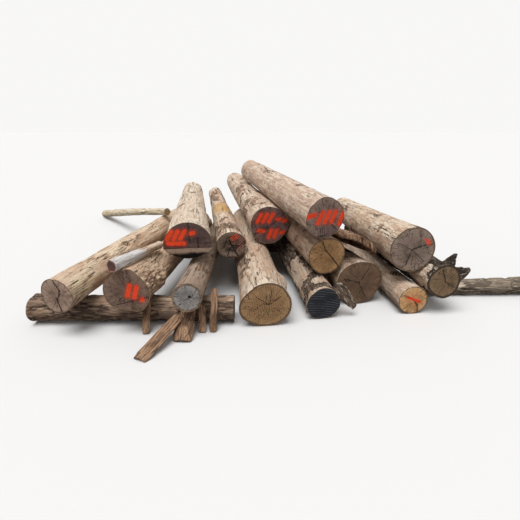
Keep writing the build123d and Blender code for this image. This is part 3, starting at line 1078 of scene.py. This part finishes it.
checkedEnd = lookFrom(
    woodTan,
    seed=24,
    rows=128,
    columns=96,
    barkFrom=0.63,
    knots=((110, 0.7, 0.035),),
    wood=(0.70, 0.555, 0.42),
    woodPale=(0.86, 0.74, 0.59),
    innerFrom=0.48,
    heart=(0.235, 0.17, 0.14),
    sap=(0.34, 0.255, 0.205),
    faceDark=(0.075, 0.05, 0.036),
    facePale=(0.35, 0.255, 0.185),
    sawAngle=-25,
    cracks=(
        (-0.02, 0.0, 0.05, 0.03, 0.0045),
        (0.05, 0.03, 0.15, 0.045, 0.004),
        (-0.02, 0.0, -0.14, 0.06, 0.003),
        (-0.02, 0.0, -0.06, -0.13, 0.004),
        (-0.02, 0.0, 0.09, -0.10, 0.003),
    ),
    spray=((0.085, 0.085, 0.12, 0.07), (0.10, 0.06, 0.13, 0.045)),
    sprayWidth=0.014,
    sprayCover=0.5,
)
buildLog("checked_end_log", checkedEnd)

whitePole = lookFrom(
    woodTan,
    seed=25,
    rows=64,
    columns=60,
    rings=12,
    barkFrom=0.18,
    barkTo=0.30,
    barkThick=0.002,
    chips=0.003,
    bark=(0.86, 0.85, 0.85),
    barkDark=(0.58, 0.55, 0.53),
    flecks=0.5,
    seams=0.5,
    heart=(0.11, 0.05, 0.04),
    sap=(0.17, 0.085, 0.06),
    faceDark=(0.06, 0.03, 0.025),
    facePale=(0.24, 0.14, 0.10),
    rimFrom=0.82,
    rimColor=(0.42, 0.10, 0.07),
)
buildLog("white_bark_pole", whitePole)

peeledPole = lookFrom(
    woodTan,
    seed=26,
    rows=48,
    columns=110,
    rings=10,
    barkFrom=0.85,
    barkThick=0.002,
    knots=((90, 0.6, 0.015), (60, 1.5, 0.015)),
    wood=(0.66, 0.52, 0.35),
    woodPale=(0.86, 0.77, 0.60),
    woodDark=(0.40, 0.26, 0.14),
    innerFrom=0.60,
)
buildLog("peeled_pole", peeledPole)

knobbyBack = lookFrom(
    woodTan,
    seed=27,
    rows=96,
    columns=72,
    barkFrom=0.76,
    wood=(0.62, 0.48, 0.35),
    woodPale=(0.86, 0.76, 0.62),
)
buildLog("knobby_back_log", knobbyBack)

# The old bearers across
oldBark = lookFrom(
    woodTan,
    carve=carveFurrowed,
    columns=110,
    plates=14,
    wood=(0.35, 0.235, 0.16),
    woodPale=(0.55, 0.41, 0.30),
    woodDark=(0.19, 0.115, 0.075),
    inner=(0.30, 0.185, 0.122),
    bark=(0.31, 0.21, 0.148),
    barkDark=(0.09, 0.056, 0.041),
    heart=(0.27, 0.18, 0.115),
    sap=(0.34, 0.235, 0.155),
)
frontBearer = lookFrom(oldBark, seed=31, furrowDeep=0.018)
buildLog("front_bearer_log", frontBearer, across=True)

rightBearer = lookFrom(
    oldBark,
    seed=32,
    plates=12,
    furrowDeep=0.012,
    wood=(0.44, 0.36, 0.28),
    woodPale=(0.60, 0.51, 0.41),
    bark=(0.34, 0.27, 0.20),
    barkDark=(0.13, 0.10, 0.075),
)
buildLog("right_bearer_log", rightBearer, across=True)

backBearer = lookFrom(oldBark, seed=33, rows=96, columns=64)
buildLog("back_bearer_log", backBearer, across=True)
print("stage: logs built")


# Slabs and strips of bark keep their CAD shape, with finer faces
def cutFiner(node, look):
    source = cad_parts[node]
    piece = source.copy()
    piece.data = source.data.copy()
    piece.name = node.replace("bark_", "loose_").replace("_slab", "_split") + "_piece"
    piece.parent = None
    bpy.context.collection.objects.link(piece)
    piece.data.materials.clear()
    piece.data.materials.append(barkMaterial(piece.name, look))
    remesh = piece.modifiers.new("remesh", "REMESH")
    remesh.mode = "VOXEL"
    remesh.voxel_size = look["cell"]
    remesh.use_smooth_shade = True
    evaluated = piece.evaluated_get(bpy.context.evaluated_depsgraph_get())
    fine = bpy.data.meshes.new_from_object(evaluated)
    piece.modifiers.clear()
    piece.data = fine
    return piece


# Furrows run along the piece, carved inward
def buildBark(node, look):
    piece = cutFiner(node, look)
    mesh = piece.data
    stem = Stem(node)
    points = readTriples(mesh.vertices, "co")
    normals = readTriples(mesh.vertices, "normal")
    off = points - stem.front
    along = stem.run / stem.length
    right = unit(np.cross(along, (0, 0, 1)))
    local = np.stack((off @ right, off @ np.cross(right, along), off @ along), 1)
    rng = np.random.default_rng(look["seed"])
    cells = 256
    field = layered(rng, cells, cells, 256, 4, 2, 0.5)
    width = local[:, 0].max() - local[:, 0].min()
    row = ((local[:, 0] - local[:, 0].min()) / width * look["ridges"] * 2).astype(int) % cells
    place = np.clip((local[:, 2] / stem.length * (cells - 1)), 0, cells - 1).astype(int)
    ridge = np.abs(np.sin((local[:, 0] / width * look["ridges"] + field[row, place] * 1.6) * math.pi))
    points -= normals * ((1 - ridge) * look["deep"])[:, None]
    mesh.vertices.foreach_set("co", points.ravel())
    addAttribute(mesh, "local", local)
    addAttribute(mesh, "shape", np.stack((ridge, ridge, ridge), 1))
    mesh.update()
    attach(piece, "root")
    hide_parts(node)


def barkMaterial(name, look):
    paint = Shader(name)
    x, y, z = paint.parts(paint.attribute("local"))
    ridge, _, _ = paint.parts(paint.attribute("shape"))
    streaks = paint.join(x + look["seed"], y, z * 0.15)
    fine = paint.noise(streaks, 70.0, 6.0, 0.7, 0.4)
    broad = paint.noise(paint.join(x, y + look["seed"], z * 0.5), 12.0, 4.0, 0.6)
    color = paint.mix(fine.ramp(0.35, 0.68), look["pale"], look["mid"])
    color = paint.mix((broad + (fine - 0.5) * 0.4).ramp(0.45, 0.62), color, look["dark"])
    # Painted shade: the furrows between the ridges are darkened to near black
    color = paint.mix(ridge.ramp(0.45, 0.05), color, look["furrow"])
    return paint.finish(color, (fine * 0.15) + 0.78, fine * 0.8 + broad * 0.3, 0.006)


brownBark = {
    "cell": 0.004,  # size of the finer faces
    "ridges": 3,  # across the width
    "deep": 0.003,  # furrows
    "pale": (0.43, 0.27, 0.165),
    "mid": (0.26, 0.145, 0.085),
    "dark": (0.15, 0.085, 0.053),
    # near black, painted shade in the furrows
    "furrow": (0.035, 0.021, 0.015),
}
furrowedSlab = lookFrom(brownBark, seed=41, cell=0.010, ridges=9, deep=0.014)
buildBark("furrowed_bark_slab", furrowedSlab)

stripLong = lookFrom(brownBark, seed=42)
buildBark("bark_strip_long", stripLong)

stripShort = lookFrom(brownBark, seed=43)
buildBark("bark_strip_short", stripShort)

stripLeft = lookFrom(brownBark, seed=44)
buildBark("bark_strip_left", stripLeft)

slabShort = lookFrom(brownBark, seed=45, ridges=5, deep=0.004)
buildBark("bark_slab_short", slabShort)

slabLeaning = lookFrom(brownBark, seed=46, ridges=5, deep=0.004)
buildBark("bark_slab_leaning", slabLeaning)
print("stage: bark built")

# Pale floor, pale background and soft light
floorReach = 60.0
floorShown = (0.79, 0.79, 0.79)
floorGiving = (0.30, 0.29, 0.28)  # what it gives back to the logs
backgroundShown = (0.94, 0.935, 0.925)
skyColor = (1.0, 0.985, 0.96)
skyStrength = 0.45
sunStrength = 2.5
sunAngle = math.radians(40)  # wide, for soft shadows
sunTurn = (math.radians(18), math.radians(-10), 0.0)

floorMesh = bpy.data.meshes.new("floor")
corners = [(x * floorReach, y * floorReach, 0.0) for x, y in ((-1, -1), (1, -1), (1, 1), (-1, 1))]
floorMesh.from_pydata(corners, [], [(0, 1, 2, 3)])
floor = bpy.data.objects.new("floor", floorMesh)
bpy.context.collection.objects.link(floor)
floorPaint = Shader("floor_paper", 0.9)
floorColor = floorPaint.mix(floorPaint.shown(), floorGiving, floorShown)
floorPaint.plug(floorPaint.surface.inputs["Base Color"], floorColor)
floorMesh.materials.append(floorPaint.material)

world = bpy.data.worlds.new("world")
bpy.context.scene.world = world
world.use_nodes = True
world.node_tree.nodes.clear()
sky = Graph(world.node_tree)
soft = sky.node("ShaderNodeBackground", {}, {"Color": skyColor, "Strength": skyStrength})
background = sky.node("ShaderNodeBackground", {}, {"Color": backgroundShown, "Strength": 1.0})
blend = sky.node("ShaderNodeMixShader", {}, {0: sky.shown(), 1: soft, 2: background})
sky.node("ShaderNodeOutputWorld", {}, {"Surface": blend})

sun = bpy.data.lights.new("cloudy_sun", "SUN")
sun.energy = sunStrength
sun.angle = sunAngle
sunLamp = bpy.data.objects.new("cloudy_sun", sun)
sunLamp.rotation_euler = sunTurn
bpy.context.collection.objects.link(sunLamp)

bpy.context.scene.view_settings.view_transform = "Standard"
print("stage: stage set")
